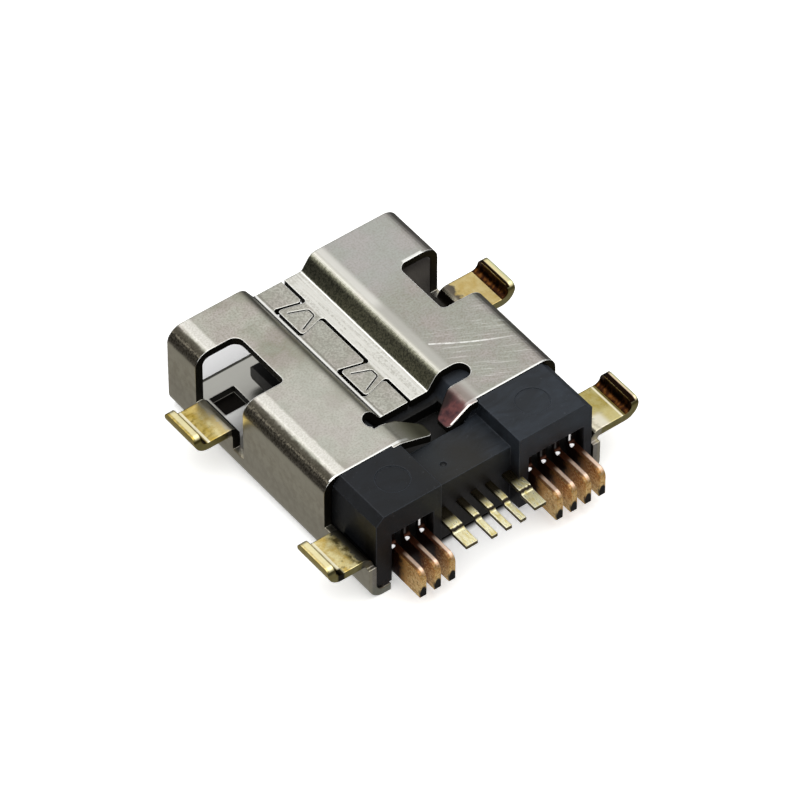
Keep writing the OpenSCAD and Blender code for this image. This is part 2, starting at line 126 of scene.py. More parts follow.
@dataclass(frozen=True)
class Coordinates(Graph):
    """A material's nodes, with where a point of its surface lies and which way it faces.

    The place is in millimetres of the part's frame, so each pattern has its real size.
    """

    place: Socket
    x: Socket
    y: Socket
    z: Socket
    face_x: Socket
    face_y: Socket
    face_z: Socket
    # distance from the part's middle plane, and how far the surface faces back to that plane
    aside: Socket
    inward: Socket
    flat_normal: Socket

    @classmethod
    def of(cls, tree: bpy.types.NodeTree) -> "Coordinates":
        """Adds the nodes that read place and facing.

        Args:
            tree: The material's node tree.

        Returns:
            The tree, with the sockets that carry them.
        """
        graph = Graph(tree)
        seen = graph.add("TexCoord", out="Object")
        place = graph.add("VectorMath", {0: seen, 3: 1 / MM}, operation="SCALE")
        normal = graph.add("NewGeometry", out="True Normal")
        x, y, z = (graph.add("SeparateXYZ", {0: place}, out=i) for i in range(3))
        faces = [graph.add("SeparateXYZ", {0: normal}, out=i) for i in range(3)]
        aside = graph.add("Math", {0: x}, operation="ABSOLUTE")
        side = graph.add("Math", {0: x}, operation="SIGN")
        inward = graph.add("Math", {0: side, 1: faces[0]}, operation="MULTIPLY")
        inward = graph.add("Math", {0: inward, 1: -1.0}, operation="MULTIPLY")
        return cls(tree, place, x, y, z, *faces, aside, inward, normal)

    def stirred(self, noise: Socket, reach: float) -> "Coordinates":
        """Shifts the place by a noise, which makes the borders of patches uneven.

        Args:
            noise: A noise about 0.5.
            reach: Shift in millimetres from the noise's lowest to its highest value.

        Returns:
            The shifted coordinates.
        """
        shift = self.add("Math", {0: noise, 1: reach, 2: -reach / 2}, operation="MULTIPLY_ADD")
        moved = {
            axis: self.add("Math", {0: getattr(self, axis), 1: shift}, operation="ADD")
            for axis in ("x", "y", "z", "aside")
        }
        return replace(self, **moved)

    def patch(self, soft: float = 0.06, strength: Socket | float = 1.0, **spans: Span) -> Socket:
        """Finds the part of the surface that lies and faces within some spans.

        Args:
            soft: Width of the fade at each end, in the coordinate's own unit.
            strength: Share inside the patch, or a share to cut down to the patch.
            **spans: For each coordinate by name, its lowest and highest value.

        Returns:
            The share, which fades to 0 outside.
        """
        share = strength
        for name, (low, high) in spans.items():
            half = (high - low) / 2
            off = self.add("Math", {0: getattr(self, name), 1: low + half}, operation="SUBTRACT")
            off = self.add("Math", {0: off}, operation="ABSOLUTE")
            fade = {"Value": off, "From Min": half + soft / 2, "From Max": half - soft / 2}
            near = self.add("MapRange", fade, **SMOOTH)
            share = self.add("Math", {0: near, 1: share}, operation="MULTIPLY")
        return share


class Finish(ABC):
    """One material of the part: what it is, how its surface was made, and what that shows."""

    name: str

    def material(self) -> bpy.types.Material:
        """Makes the material and its nodes.

        Returns:
            The material, ready for an object's slot.
        """
        made = bpy.data.materials.new(self.name)
        made.use_nodes = True
        made.node_tree.nodes.clear()
        at = Coordinates.of(made.node_tree)
        at.add("OutputMaterial", {"Surface": self.surface(at)})
        return made

    @abstractmethod
    def surface(self, at: Coordinates) -> Socket:
        """Adds the nodes of the surface.

        Args:
            at: The nodes, with place and facing.

        Returns:
            The shader socket.
        """


# Finishes


@dataclass(frozen=True)
class StampedNickelSteel(Finish):
    """Stainless sheet, stamped and folded, with satin nickel plating and gold flash on the legs.

    Barrel plating leaves a fine grain and faint clouds. The punch leaves the cut faces torn and
    rolls the edges above them; the cut faces get painted shade and the rolled rims a painted
    highlight. Folding leaves drawn lines along the channel.
    """

    name: str = "stamped_nickel_steel"
    light: str = "#CDCBC0"
    shade: str = "#A9A799"
    right_tone: str = "#B7B5AE"
    stain: str = "#98917F"
    wall: str = "#D4CDB6"
    wall_stain: str = "#A2957D"
    floor: str = "#B9B8B1"
    inner: str = "#2A241C"
    # painted shade on the cut faces
    cut: str = "#2C2A24"
    # painted highlight on the rolled rims, also the colour of the scratches and the drawn strip
    rim: str = "#FFFFFA"
    groove: str = "#3A3933"
    gold_light: str = "#F9EDB4"
    gold_deep: str = "#D9BC68"
    gold_spot: str = "#5A4620"
    gold_edge: str = "#958D58"
    cloud_mm: float = 2.2
    film_mm: float = 0.8
    mottle_mm: float = 0.25
    # plating grain is a few hundredths of a millimetre, drawn at twice that so that it shows
    grain_mm: float = 0.06
    rim_mm: float = 0.055
    relief_mm: float = 0.0018
    # distance from the middle plane at which the gold begins, half a noise further in
    waterline: Span = (4.37, 4.5)
    scratch_from: Span = (-1.53, 4.9)
    scratch_to: Span = (-3.58, 6.03)
    scratch_width: Span = (-0.024, 0.024)
    scratch_bow: float = 0.06

    def surface(self, at: Coordinates) -> Socket:
        """Layers plating, stains, painted shade and highlights, gold and wear.

        Args:
            at: The nodes, with place and facing.

        Returns:
            The shader socket.
        """
        # clouds, mottle and grain, from broad to fine
        clouds, mottle, grain = (
            at.add(
                "TexNoise",
                {"Vector": at.place, "Scale": 1 / size, "Detail": 3.0, "Roughness": 0.58},
            )
            for size in (self.cloud_mm, self.mottle_mm, self.grain_mm)
        )
        rolled, rim = self._rims(at)
        scratches = self._scratches(at, mottle)
        cut = self._cut_faces(at)
        colour = self._plating_colour(at, clouds, mottle, grain)
        colour = self._stains_and_painted_light(at, colour, mottle, grain)
        gold = self._gold_share(at, mottle)
        gilding = self._gold_colour(at, mottle, grain)
        colour = at.add("Mix", {0: gold, 6: colour, 7: gilding}, out=2, data_type="RGBA")
        rim = at.patch(soft=0.2, strength=rim, face_z=(0.5, 1.2), aside=(-0.1, 4.1))
        # the painted rim highlight is left off the wall's torn edges and the rubbed sides of the
        # tabs
        for plain in (
            at.patch(soft=0.1, z=(-0.2, 2.2)),
            at.patch(soft=0.05, x=(-1.3, 1.3), y=(6.45, 7.31), z=(2.2, 2.96)),
        ):
            plain = at.add("Math", {0: 1.0, 1: plain}, operation="SUBTRACT")
            rim = at.add("Math", {0: rim, 1: plain}, operation="MULTIPLY")
        bright = at.add("Math", {0: rim, 1: scratches}, operation="MAXIMUM")
        # the drawn strip in the channel is nearly as bright as a rim
        worn = at.add("MapRange", {"Value": grain, "From Min": 0.4, "From Max": 0.6, "To Max": 0.6})
        strip = {"x": (-0.6, 0.0), "y": (0.3, 5.9), "z": (2.47, 2.5), "face_z": UP}
        worn = at.patch(soft=0.08, strength=worn, **strip)
        bright = at.add("Math", {0: bright, 1: worn}, operation="MAXIMUM")
        groove = at.patch(soft=0.01, aside=(-0.1, 1.1), z=(2.4, 2.468), face_z=UP)
        # painted shade on the cut faces, a painted highlight on the rims that the scratches and the
        # drawn strip share, and the dark groove
        tones = ((cut, self.cut), (bright, self.rim), (groove, self.groove))
        colour = at.layered(colour, tones)
        # the painted rim highlight, the scratches and the drawn strip are made less metallic, so
        # that they look white from every side
        metal = at.add("MapRange", {"Value": bright, "To Min": 1.0, "To Max": 0.3})
        # satin plating is rougher where the clouds are darker, and torn faces scatter most
        satin = at.add(
            "MapRange",
            {"Value": clouds, "From Min": 0.35, "From Max": 0.65, "To Min": 0.28, "To Max": 0.36},
        )
        roughness = at.add("Mix", {0: cut, 2: satin, 3: 0.6}, data_type="FLOAT")
        height = at.add("Math", {0: mottle, 1: 1.6, 2: grain}, operation="MULTIPLY_ADD")
        height = at.add("Math", {0: scratches, 1: -1.5, 2: height}, operation="MULTIPLY_ADD")
        normal = at.add(
            "Bump", {"Distance": self.relief_mm * MM, "Height": height, "Normal": rolled}
        )
        return at.add(
            "BsdfPrincipled",
            {"Base Color": colour, "Metallic": metal, "Roughness": roughness, "Normal": normal},
        )

    def _rims(self, at: Coordinates) -> tuple[Socket, Socket]:
        """Rounds the sharp edges as the punch rolls them, and finds them.

        Args:
            at: The nodes, with place and facing.

        Returns:
            The rounded normal, and a share that is 1 on a rolled edge.
        """
        rolled = at.add("Bevel", {"Radius": self.rim_mm * MM}, samples=8)
        likeness = at.add("VectorMath", {0: rolled, 1: at.flat_normal}, 1, operation="DOT_PRODUCT")
        rim = at.add("MapRange", {"Value": likeness, "From Min": 0.985, "From Max": 0.88}, **SMOOTH)
        return rolled, rim

    def _cut_faces(self, at: Coordinates) -> Socket:
        """Finds the upright faces that the punch cut in the upper shell and the bottom plate.

        Args:
            at: The nodes, with place and facing.

        Returns:
            A share that is 1 on a cut face.
        """
        along = at.add("Math", {0: at.face_y}, operation="ABSOLUTE")
        across = at.add("Math", {0: along, 1: 0.5}, operation="GREATER_THAN")
        inside = at.patch(soft=0.02, aside=(-0.1, 3.7))
        either = at.add("Math", {0: across, 1: inside}, operation="MAXIMUM")
        upright = {"face_z": (-0.25, 0.25), "z": (0.02, 3.1)}
        return at.patch(soft=0.02, strength=either, y=(0.03, 7.42), aside=(-0.1, 4.06), **upright)

    def _plating_colour(
        self, at: Coordinates, clouds: Socket, mottle: Socket, grain: Socket
    ) -> Socket:
        """Mixes the nickel's clouds, its fine grain and the darker right side.

        Args:
            at: The nodes, with place and facing.
            clouds: Broad soft noise.
            mottle: Fine noise.
            grain: The plating's grain.

        Returns:
            The colour of the plating.
        """
        cloudy = at.add("MapRange", {"Value": clouds, "From Min": 0.4, "From Max": 0.6}, **SMOOTH)
        # handling left a faint film, greenish in some places and pinkish in others
        film = at.add("TexNoise", {"Vector": at.place, "Scale": 1 / self.film_mm, "Detail": 2.0})
        greenish, pinkish, flecks, specks = (
            at.add("MapRange", {"Value": noise, "From Min": low, "From Max": high, "To Max": most})
            for noise, low, high, most in (
                (film, 0.5, 0.38, 0.42),
                (film, 0.5, 0.62, 0.42),
                (grain, 0.44, 0.64, 0.55),
                (mottle, 0.5, 0.75, 0.3),
            )
        )
        tones = (
            (cloudy, self.shade),
            (at.patch(soft=0.9, strength=0.85, x=(-9.0, -0.85)), self.right_tone),
            (greenish, "#B4BAAB"),
            (pinkish, "#C6B9B7"),
            (flecks, self.stain),
            (specks, self.stain),
        )
        return at.layered(self.light, tones)

    def _stains_and_painted_light(self, at: Coordinates, base: Socket, mottle: Socket, grain: Socket) -> Socket:
        """Lays the tones of each region over the plating, painted shade and highlights among them.

        Args:
            at: The nodes, with place and facing.
            base: The colour of the plating.
            mottle: Fine noise.
            grain: The plating's grain.

        Returns:
            The colour of the plated sheet, without its cut faces.
        """
        ragged = at.stirred(mottle, 0.1)
        drawn = at.add("Mapping", {"Vector": at.place, "Scale": (18.0, 0.7, 1.0)})
        drawn = at.add("TexNoise", {"Vector": drawn, "Scale": 1.0, "Detail": 1.0})
        fine, coarse, drawn = (
            at.add("MapRange", {"Value": noise, "From Min": 0.4, "From Max": high})
            for noise, high in ((grain, 0.6), (mottle, 0.62), (drawn, 0.62))
        )
        floor = {"z": (2.2, 2.52), "y": (-0.1, 6.3), "face_z": UP}
        strip = at.patch(soft=0.05, x=(-0.62, 0.02), **floor)
        channel_wall_shade = ragged.patch(soft=0.35, x=(-1.3, -0.55), face_x=(0.48, 1.5), z=(2.2, 3.1))
        shoulder_highlight = ragged.patch(soft=0.1, x=(3.28, 3.6), z=TOP, face_z=(0.3, 1.5))
        bend_shade = ragged.patch(soft=0.12, x=(3.68, 4.2), z=(2.76, 2.975))
        below = ragged.patch(soft=0.15, x=(3.8, 4.2), z=(2.6, 2.8))
        wall = at.patch(soft=0.1, aside=(3.93, 4.2), z=(-0.1, 2.8))
        blotch = at.patch(soft=0.9, strength=0.55, aside=(3.93, 4.2), z=(0.5, 2.3))
        pink = ragged.patch(soft=0.3, x=(-0.95, -0.1), y=(6.48, 7.36), z=(2.3, 3.0))
        bend_highlight = at.patch(soft=0.2, x=(-1.38, -1.1), z=TOP)
        whole_floor = at.patch(soft=0.05, strength=0.45, x=(-0.62, 0.95), **floor)

        def speckled(share: Socket, noise: Socket) -> Socket:
            """Thins a patch out by a noise."""
            return at.add("Math", {0: share, 1: noise}, operation="MULTIPLY")

        tones = (
            # a painted sheen brightens the left lobe towards the rear, and the right one is lighter
            # and cooler in front
            (at.patch(soft=2.2, strength=0.5, x=(1.0, 3.9), y=(3.4, 7.6), z=TOP), "#DEDDD5"),
            (at.patch(soft=1.2, strength=0.4, x=(-3.7, -1.2), y=(-0.5, 2.4), z=TOP), "#D3D6D8"),
            # the walls are beige, blotched, and greyer towards their foot
            (wall, self.wall),
            (speckled(blotch, coarse), self.wall_stain),
            (at.patch(soft=0.8, strength=0.4, aside=(3.95, 4.2), z=(-0.5, 1.4)), "#B9B3A5"),
            # the left lobe's outer bend: a painted highlight on the shoulder, then a dark and
            # grainy band of painted shade
            (shoulder_highlight, "#E8E5DA"),
            (speckled(shoulder_highlight, fine), "#FBF8F0"),
            (below, "#ABA293"),
            (speckled(below, fine), "#746C5C"),
            (bend_shade, "#8A8373"),
            (speckled(bend_shade, fine), "#46423A"),
            (ragged.patch(soft=0.07, strength=0.9, x=(3.64, 3.83), z=(2.86, 2.995)), "#37342C"),
            # the channel's floor is grainy, with a bright drawn strip along its right side
            (at.patch(soft=0.2, strength=0.4, x=(0.02, 0.95), **floor), "#DAD8CF"),
            (speckled(whole_floor, fine), "#8F8D84"),
            (strip, "#CFCDC3"),
            (speckled(strip, drawn), "#F3F1E9"),
            (speckled(strip, fine), "#DBD9CF"),
            # painted highlights at the foot of the channel's right wall
            (at.patch(soft=0.03, strength=0.9, x=(-0.66, -0.6), z=(2.4, 2.56)), "#FFFFFA"),
            (at.patch(soft=0.03, strength=0.6, x=(-0.5, -0.46), z=(2.4, 2.5)), "#F6F5EF"),
            # the right lobe's inner bend has a painted highlight with painted shade beside it, and
            # the wall below it is painted dark olive for shade
            (bend_highlight, "#EBE9E1"),
            (at.patch(soft=0.5, strength=0.8, x=(-1.5, -0.9), y=(2.8, 7.4), z=TOP), "#AEACA3"),
            (at.patch(soft=0.06, strength=0.5, x=(-1.15, -0.95), z=(2.86, 3.1)), "#BDBBB0"),
            (channel_wall_shade, "#84836F"),
            (speckled(channel_wall_shade, fine), "#58584A"),
            # the foot of the channel's left wall has a painted highlight between two lines of
            # painted shade, and the left lobe's rim above it gets painted shade
            (at.patch(soft=0.2, strength=0.4, x=(1.3, 1.6), z=(2.85, 3.1)), "#8F8D80"),
            (at.patch(soft=0.03, x=(1.0, 1.3), z=(2.47, 2.8), face_x=(-1.5, -0.1)), "#45433A"),
            (at.patch(soft=0.03, x=(0.935, 1.005), z=(2.2, 2.5), face_z=(0.6, 1.5)), "#FFFFFA"),
            (at.patch(soft=0.03, strength=0.7, x=(0.865, 0.905), z=(2.2, 2.52)), "#85837A"),
            # painted highlights along the rear edges of both lobes and along the right window's
            # front edge
            (at.patch(soft=0.03, y=(7.24, 7.33), z=TOP, face_z=UP), self.rim),
            (at.patch(soft=0.06, x=(-3.5, -2.82), y=(1.8, 1.93), z=TOP, face_z=UP), self.rim),
            # the bottom plate has its own tone, with a painted pool of light under the left window
            (at.patch(soft=0.1, z=PLATE, face_z=UP), self.floor),
            (at.patch(soft=0.15, x=(2.5, 3.5), y=(1.5, 2.4), z=PLATE, face_z=UP), "#FBFBF8"),
            # painted shade at the root of the rear left leg, beside the housing
            (
                ragged.patch(soft=0.1, strength=0.85, x=(3.7, 4.3), y=(7.35, 9.3), z=(1.22, 1.7)),
                "#2B271B",
            ),
            # the right legs are darker near the wall: brown in front, olive behind
            (
                at.patch(soft=0.14, strength=0.85, x=(-4.46, -4.0), y=(2.2, 3.62), z=(1.26, 1.7)),
                "#3A2E26",
            ),
            (
                at.patch(soft=0.2, strength=0.8, x=(-4.6, -4.0), y=(7.8, 8.75), z=(1.4, 1.7)),
                "#A0944F",
            ),
            # the bottom plate is darker along its front edge
            (at.patch(soft=0.03, aside=(-0.1, 3.9), y=(-0.1, 0.09), z=PLATE), "#45443F"),
            # little light gets inside the lobes
            (at.patch(soft=0.05, inward=(0.6, 1.5), aside=(3.5, 4.02)), self.inner),
            (at.patch(soft=0.1, face_z=(-1.5, -0.5), z=(2.0, 2.9)), self.inner),
            (
                ragged.patch(
                    soft=0.3, strength=0.8, x=(-4.02, -3.5), y=(-0.1, 1.95), inward=(0.3, 1.5)
                ),
                "#2A201C",
            ),
            # the tabs are darker, olive on the left and pink on the right, and the right tab's rear
            # edge has a painted highlight
            (at.patch(soft=0.7, x=(0.0, 1.2), y=TABS, z=(2.3, 3.1)), "#8E8D7A"),
            (at.patch(soft=0.5, x=(0.0, 0.85), y=TABS, z=(2.3, 3.1)), "#565545"),
            (at.patch(soft=0.3, x=(-1.25, -0.1), y=TABS, z=(2.3, 3.0)), "#8A706C"),
            (pink, "#38272A"),
            (speckled(pink, coarse), "#5C3A39"),
            (ragged.patch(soft=0.3, x=(-0.9, -0.1), y=(6.4, 6.85), z=(2.3, 3.0)), "#2B2322"),
            (at.patch(soft=0.03, x=(-1.15, -0.3), y=(7.34, 7.45), z=(2.3, 3.0)), "#FFEDE6"),
        )
        return at.layered(base, tones)

    def _gold_share(self, at: Coordinates, mottle: Socket) -> Socket:
        """Tells how much gold lies on the legs, with an uneven waterline near the wall.

        Args:
            at: The nodes, with place and facing.
            mottle: Fine noise that makes the waterline uneven.

        Returns:
            A share that is 1 on the outer part of the legs.
        """
        depth = at.add("Math", {0: mottle, 1: 0.5, 2: at.aside}, operation="MULTIPLY_ADD")
        bare, full = self.waterline
        return at.add("MapRange", {"Value": depth, "From Min": bare, "From Max": full}, **SMOOTH)

    def _gold_colour(self, at: Coordinates, mottle: Socket, grain: Socket) -> Socket:
        """Mixes pale and deep gold, its small pits and the painted shade inside the lips.

        Args:
            at: The nodes, with place and facing.
            mottle: Fine noise.
            grain: The plating's grain.

        Returns:
            The colour of the gold.
        """
        deep = at.add("MapRange", {"Value": mottle, "From Min": 0.36, "From Max": 0.66})
        streaks = at.add("Mapping", {"Vector": at.place, "Scale": (6.0, 9.0, 5.0)})
        streaks = at.add("TexNoise", {"Vector": streaks, "Scale": 1.0, "Detail": 3.0})
        streaks = at.add(
            "MapRange", {"Value": streaks, "From Min": 0.46, "From Max": 0.66, "To Max": 0.8}
        )
        # pits a tenth of a millimetre wide, a few to each leg
        pits = at.add("TexVoronoi", {"Vector": at.place, "Scale": 2.9}, out="Distance")
        pits = at.add("Math", {0: grain, 1: -0.3, 2: pits}, operation="MULTIPLY_ADD")
        fade = {"Value": pits, "From Min": 0.02, "From Max": -0.06, "To Max": 0.45}
        pits = at.add("MapRange", fade, **SMOOTH)
        stained = at.add(
            "MapRange", {"Value": mottle, "From Min": 0.4, "From Max": 0.56, "To Max": 0.9}
        )
        stained = at.patch(soft=0.16, strength=stained, x=(4.0, 4.36), y=(7.0, 9.5), z=(0.8, 1.7))
        # the front left leg is beige near the wall, then deep yellow with burnt flecks
        shallow = at.patch(soft=0.4, strength=0.85, x=(4.0, 4.36), y=(-1.0, 4.5), z=(0.8, 1.7))
        yellow = at.patch(soft=0.25, strength=0.7, x=(4.5, 5.4), y=(-1.0, 4.5))
        burnt = at.add("Math", {0: yellow, 1: streaks}, operation="MULTIPLY")
        lip_end = {"z": (1.84, 2.0), "face_z": UP}
        flat = {"z": (1.45, 1.7), "face_z": UP}
        lines = at.add(
            "MapRange", {"Value": grain, "From Min": 0.55, "From Max": 0.7, "To Max": 0.35}
        )
        lip_shade = at.patch(soft=0.08, aside=(4.9, 5.6), inward=(0.05, 1.5), z=(1.4, 1.9))
        glints = at.add("Math", {0: lip_shade, 1: streaks}, operation="MULTIPLY")
        glints = at.add("Math", {0: glints, 1: 0.8}, operation="MULTIPLY")
        tones = (
            (deep, self.gold_deep),
            (lines, "#8F7A3E"),
            (pits, self.gold_spot),
            (yellow, "#C4A948"),
            (burnt, "#705418"),
            (shallow, "#DCC890"),
            (stained, "#4A4429"),
            (at.patch(soft=0.5, strength=0.8, x=(-5.1, -4.3), y=REAR_LEGS, **flat), "#968A42"),
            (at.patch(soft=0.25, strength=0.8, x=(-4.5, -4.0), y=(8.7, 9.5), **flat), "#FBF7E8"),
            (at.patch(soft=0.5, strength=0.8, x=(-5.1, -4.0), y=FRONT_LEGS, **flat), "#C9AE72"),
            (at.patch(soft=0.3, strength=0.5, x=(-5.1, -4.5), y=(8.7, 9.5), **flat), "#F0E4A8"),
            # a painted highlight runs where the lip begins to bend, with painted shade beside it on
            # the rear right leg
            (at.patch(soft=0.04, x=(4.79, 4.87), **flat), "#FFF8D8"),
            (at.patch(soft=0.06, strength=0.9, x=(-5.2, -4.93), y=REAR_LEGS, **flat), "#6E6230"),
            (at.patch(soft=0.04, x=(-4.95, -4.89), y=REAR_LEGS, **flat), "#FFF8D8"),
            (at.patch(soft=0.2, strength=0.8, face_y=(-1.5, -0.6)), self.gold_edge),
            (at.patch(soft=0.2, strength=0.8, face_y=(0.6, 1.5)), self.gold_edge),
            (at.patch(soft=0.1, strength=0.7, inward=(-1.5, -0.7), aside=(5.2, 5.6)), "#C2AC52"),
            # painted shade inside the cupped lips, with painted gold glints in it
            (lip_shade, "#27140A"),
            (glints, "#6E441C"),
            # painted shade at both ends of the rear left leg's lip, where its bend ends
            (at.patch(soft=0.08, x=(4.98, 5.25), y=(7.7, 7.9), z=(1.7, 2.1)), "#1E190B"),
            (at.patch(soft=0.08, x=(4.78, 5.0), y=(9.0, 9.4), z=(1.25, 1.75)), "#1E190B"),
            # painted highlights on the ends of the lips, in three lines on the right, with painted
            # shade along the inner edge there
            (at.patch(soft=0.06, strength=0.8, x=(5.1, 5.26), **lip_end), "#FFF6C6"),
            (at.patch(soft=0.04, x=(-5.6, -5.2), **lip_end), "#E2E0AE"),
            (at.patch(soft=0.04, x=(-5.44, -5.2), y=REAR_LEGS, **lip_end), "#F2D9B8"),
            (at.patch(soft=0.04, x=(-5.42, -5.2), y=FRONT_LEGS, **lip_end), "#F8E9B4"),
            (at.patch(soft=0.03, x=(-5.4, -5.2), y=REAR_LEGS, **lip_end), "#180C06"),
            (at.patch(soft=0.03, x=(-5.33, -5.2), y=FRONT_LEGS, **lip_end), "#1C0F07"),
        )
        return at.layered(self.gold_light, tones)

    def _scratches(self, at: Coordinates, mottle: Socket) -> Socket:
        """Draws the long handling scratch on the right lobe and the fine rubs behind it.

        Args:
            at: The nodes, with place and facing.
            mottle: Fine noise that breaks the lines up.

        Returns:
            A share that is 1 in a scratch.
        """
        (x0, y0), (x1, y1) = self.scratch_from, self.scratch_to
        turn = math.atan2(y1 - y0, x1 - x0)
        length = math.hypot(x1 - x0, y1 - y0)
        laid = at.add(
            "Mapping",
            {"Vector": at.place, "Location": (x0, y0, 0.0), "Rotation": (0.0, 0.0, turn)},
            vector_type="TEXTURE",
        )
        along, across = (at.add("SeparateXYZ", {0: laid}, out=i) for i in range(2))
        # the scratch bows a little to one side
        bow = at.add("Math", {0: along, 1: math.pi / length}, operation="MULTIPLY")
        bow = at.add("Math", {0: bow}, operation="SINE")
        off = at.add("Math", {0: bow, 1: self.scratch_bow, 2: across}, operation="MULTIPLY_ADD")
        line = replace(at, x=along, y=off)
        # it grows shallow over its last millimetre
        fade = at.add(
            "MapRange",
            {"Value": along, "From Min": length, "From Max": length - 1.0, "To Min": 0.2},
        )
        long_one = line.patch(soft=0.04, strength=fade, x=(-0.1, length), y=self.scratch_width)
        # rubs are hairlines, drawn a pixel wide and a millimetre long beside the scratch
        rubs = at.add("Mapping", {"Vector": laid, "Scale": (0.9, 16.0, 1.0)})
        rubs = at.add("TexNoise", {"Vector": rubs, "Scale": 1.0, "Distortion": 0.3})
        rubs = at.add("MapRange", {"Value": rubs, "From Min": 0.56, "From Max": 0.7, "To Max": 0.4})
        rubs = at.patch(soft=1.0, strength=rubs, x=(-4.0, -1.6), y=(4.4, 8.0))
        marks = at.add("Math", {0: long_one, 1: rubs}, operation="MAXIMUM")
        broken = at.add(
            "MapRange",
            {"Value": mottle, "From Min": 0.35, "From Max": 0.5, "To Min": 0.4, "To Max": 0.9},
        )
        marks = at.add("Math", {0: marks, 1: broken}, operation="MULTIPLY")
        return at.patch(soft=0.1, strength=marks, face_z=(0.9, 1.5), z=(2.8, 3.1))


@dataclass(frozen=True)
class MouldedPolymer(Finish):
    """Glass-filled liquid crystal polymer, injection moulded in a spark-eroded tool.

    It is blue-black and matte, with short flow marks, a fine skin and edges rubbed paler. Its
    recesses get no light and look black.
    """

    name: str = "moulded_black_polymer"
    body: str = "#15181C"
    flow: str = "#2A3038"
    rubbed: str = "#3E434A"
    dust: str = "#5A5E64"
    brown: str = "#1B1512"
    hollow: str = "#060504"
    flow_mm: float = 0.9
    skin_mm: float = 0.09
    edge_mm: float = 0.05
    relief_mm: float = 0.0025

    def surface(self, at: Coordinates) -> Socket:
        """Layers flow marks, dust, rubbed edges and hollows.

        Args:
            at: The nodes, with place and facing.

        Returns:
            The shader socket.
        """
        drawn = at.add("Mapping", {"Vector": at.place, "Scale": (0.6, 1.4, 1.0)})
        flow = at.add(
            "TexNoise",
            {
                "Vector": drawn,
                "Scale": 1 / self.flow_mm,
                "Detail": 4.0,
                "Roughness": 0.65,
                "Distortion": 0.8,
            },
        )
        skin = at.add("TexNoise", {"Vector": at.place, "Scale": 1 / self.skin_mm})
        streak = at.add("MapRange", {"Value": flow, "From Min": 0.38, "From Max": 0.66})
        dust = at.add("MapRange", {"Value": skin, "From Min": 0.66, "From Max": 0.8, "To Max": 0.2})
        rounded = at.add("Bevel", {"Radius": self.edge_mm * MM}, samples=6)
        likeness = at.add("VectorMath", {0: rounded, 1: at.flat_normal}, 1, operation="DOT_PRODUCT")
        edge = at.add(
            "MapRange", {"Value": likeness, "From Min": 0.99, "From Max": 0.88, "To Max": 0.7}
        )
        tones = (
            (streak, self.flow),
            (at.patch(soft=1.2, strength=0.7, x=(-0.6, 1.8), y=(7.6, 9.4)), "#24211A"),
            (at.patch(soft=0.8, strength=0.6, x=(0.4, 1.4), y=(7.2, 8.4), z=(2.3, 2.6)), "#20262B"),
            (at.patch(soft=2.5, strength=0.6, x=(-5.0, -1.2), z=(2.3, 3.2)), "#2B3036"),
            (at.patch(soft=1.5, strength=0.75, x=(1.2, 5.0)), "#0C0E11"),
            # painted shade on the housing's left side face
            (at.patch(soft=0.1, strength=0.4, face_x=(0.5, 1.5), x=(3.5, 4.0)), "#070707"),
            (dust, self.dust),
            (edge, self.rubbed),
            (at.patch(soft=0.8, strength=0.8, y=(8.85, 9.4), z=(0.0, 2.0)), self.brown),
            (at.patch(soft=0.1, aside=(-0.1, 1.8), y=(6.0, 7.46), z=(1.0, 2.3)), self.hollow),
            (at.patch(soft=0.06, y=(8.8, 9.22), z=(-0.1, 2.16), aside=(1.5, 4.0)), self.hollow),
            (at.patch(soft=0.3, strength=0.85, y=(-0.5, 6.0), z=(-0.1, 2.8)), self.hollow),
        )
        colour = at.layered(self.body, tones)
        roughness = at.add(
            "MapRange",
            {"Value": flow, "From Min": 0.3, "From Max": 0.7, "To Min": 0.42, "To Max": 0.58},
        )
        height = at.add("Math", {0: flow, 1: 2.0, 2: skin}, operation="MULTIPLY_ADD")
        normal = at.add(
            "Bump", {"Distance": self.relief_mm * MM, "Height": height, "Normal": rounded}
        )
        # the eroded skin breaks the gloss up, so less of it reaches the eye
        return at.add(
            "BsdfPrincipled",
            {
                "Base Color": colour,
                "Roughness": roughness,
                "IOR": 1.6,
                "Specular IOR Level": 0.2,
                "Normal": normal,
            },
        )


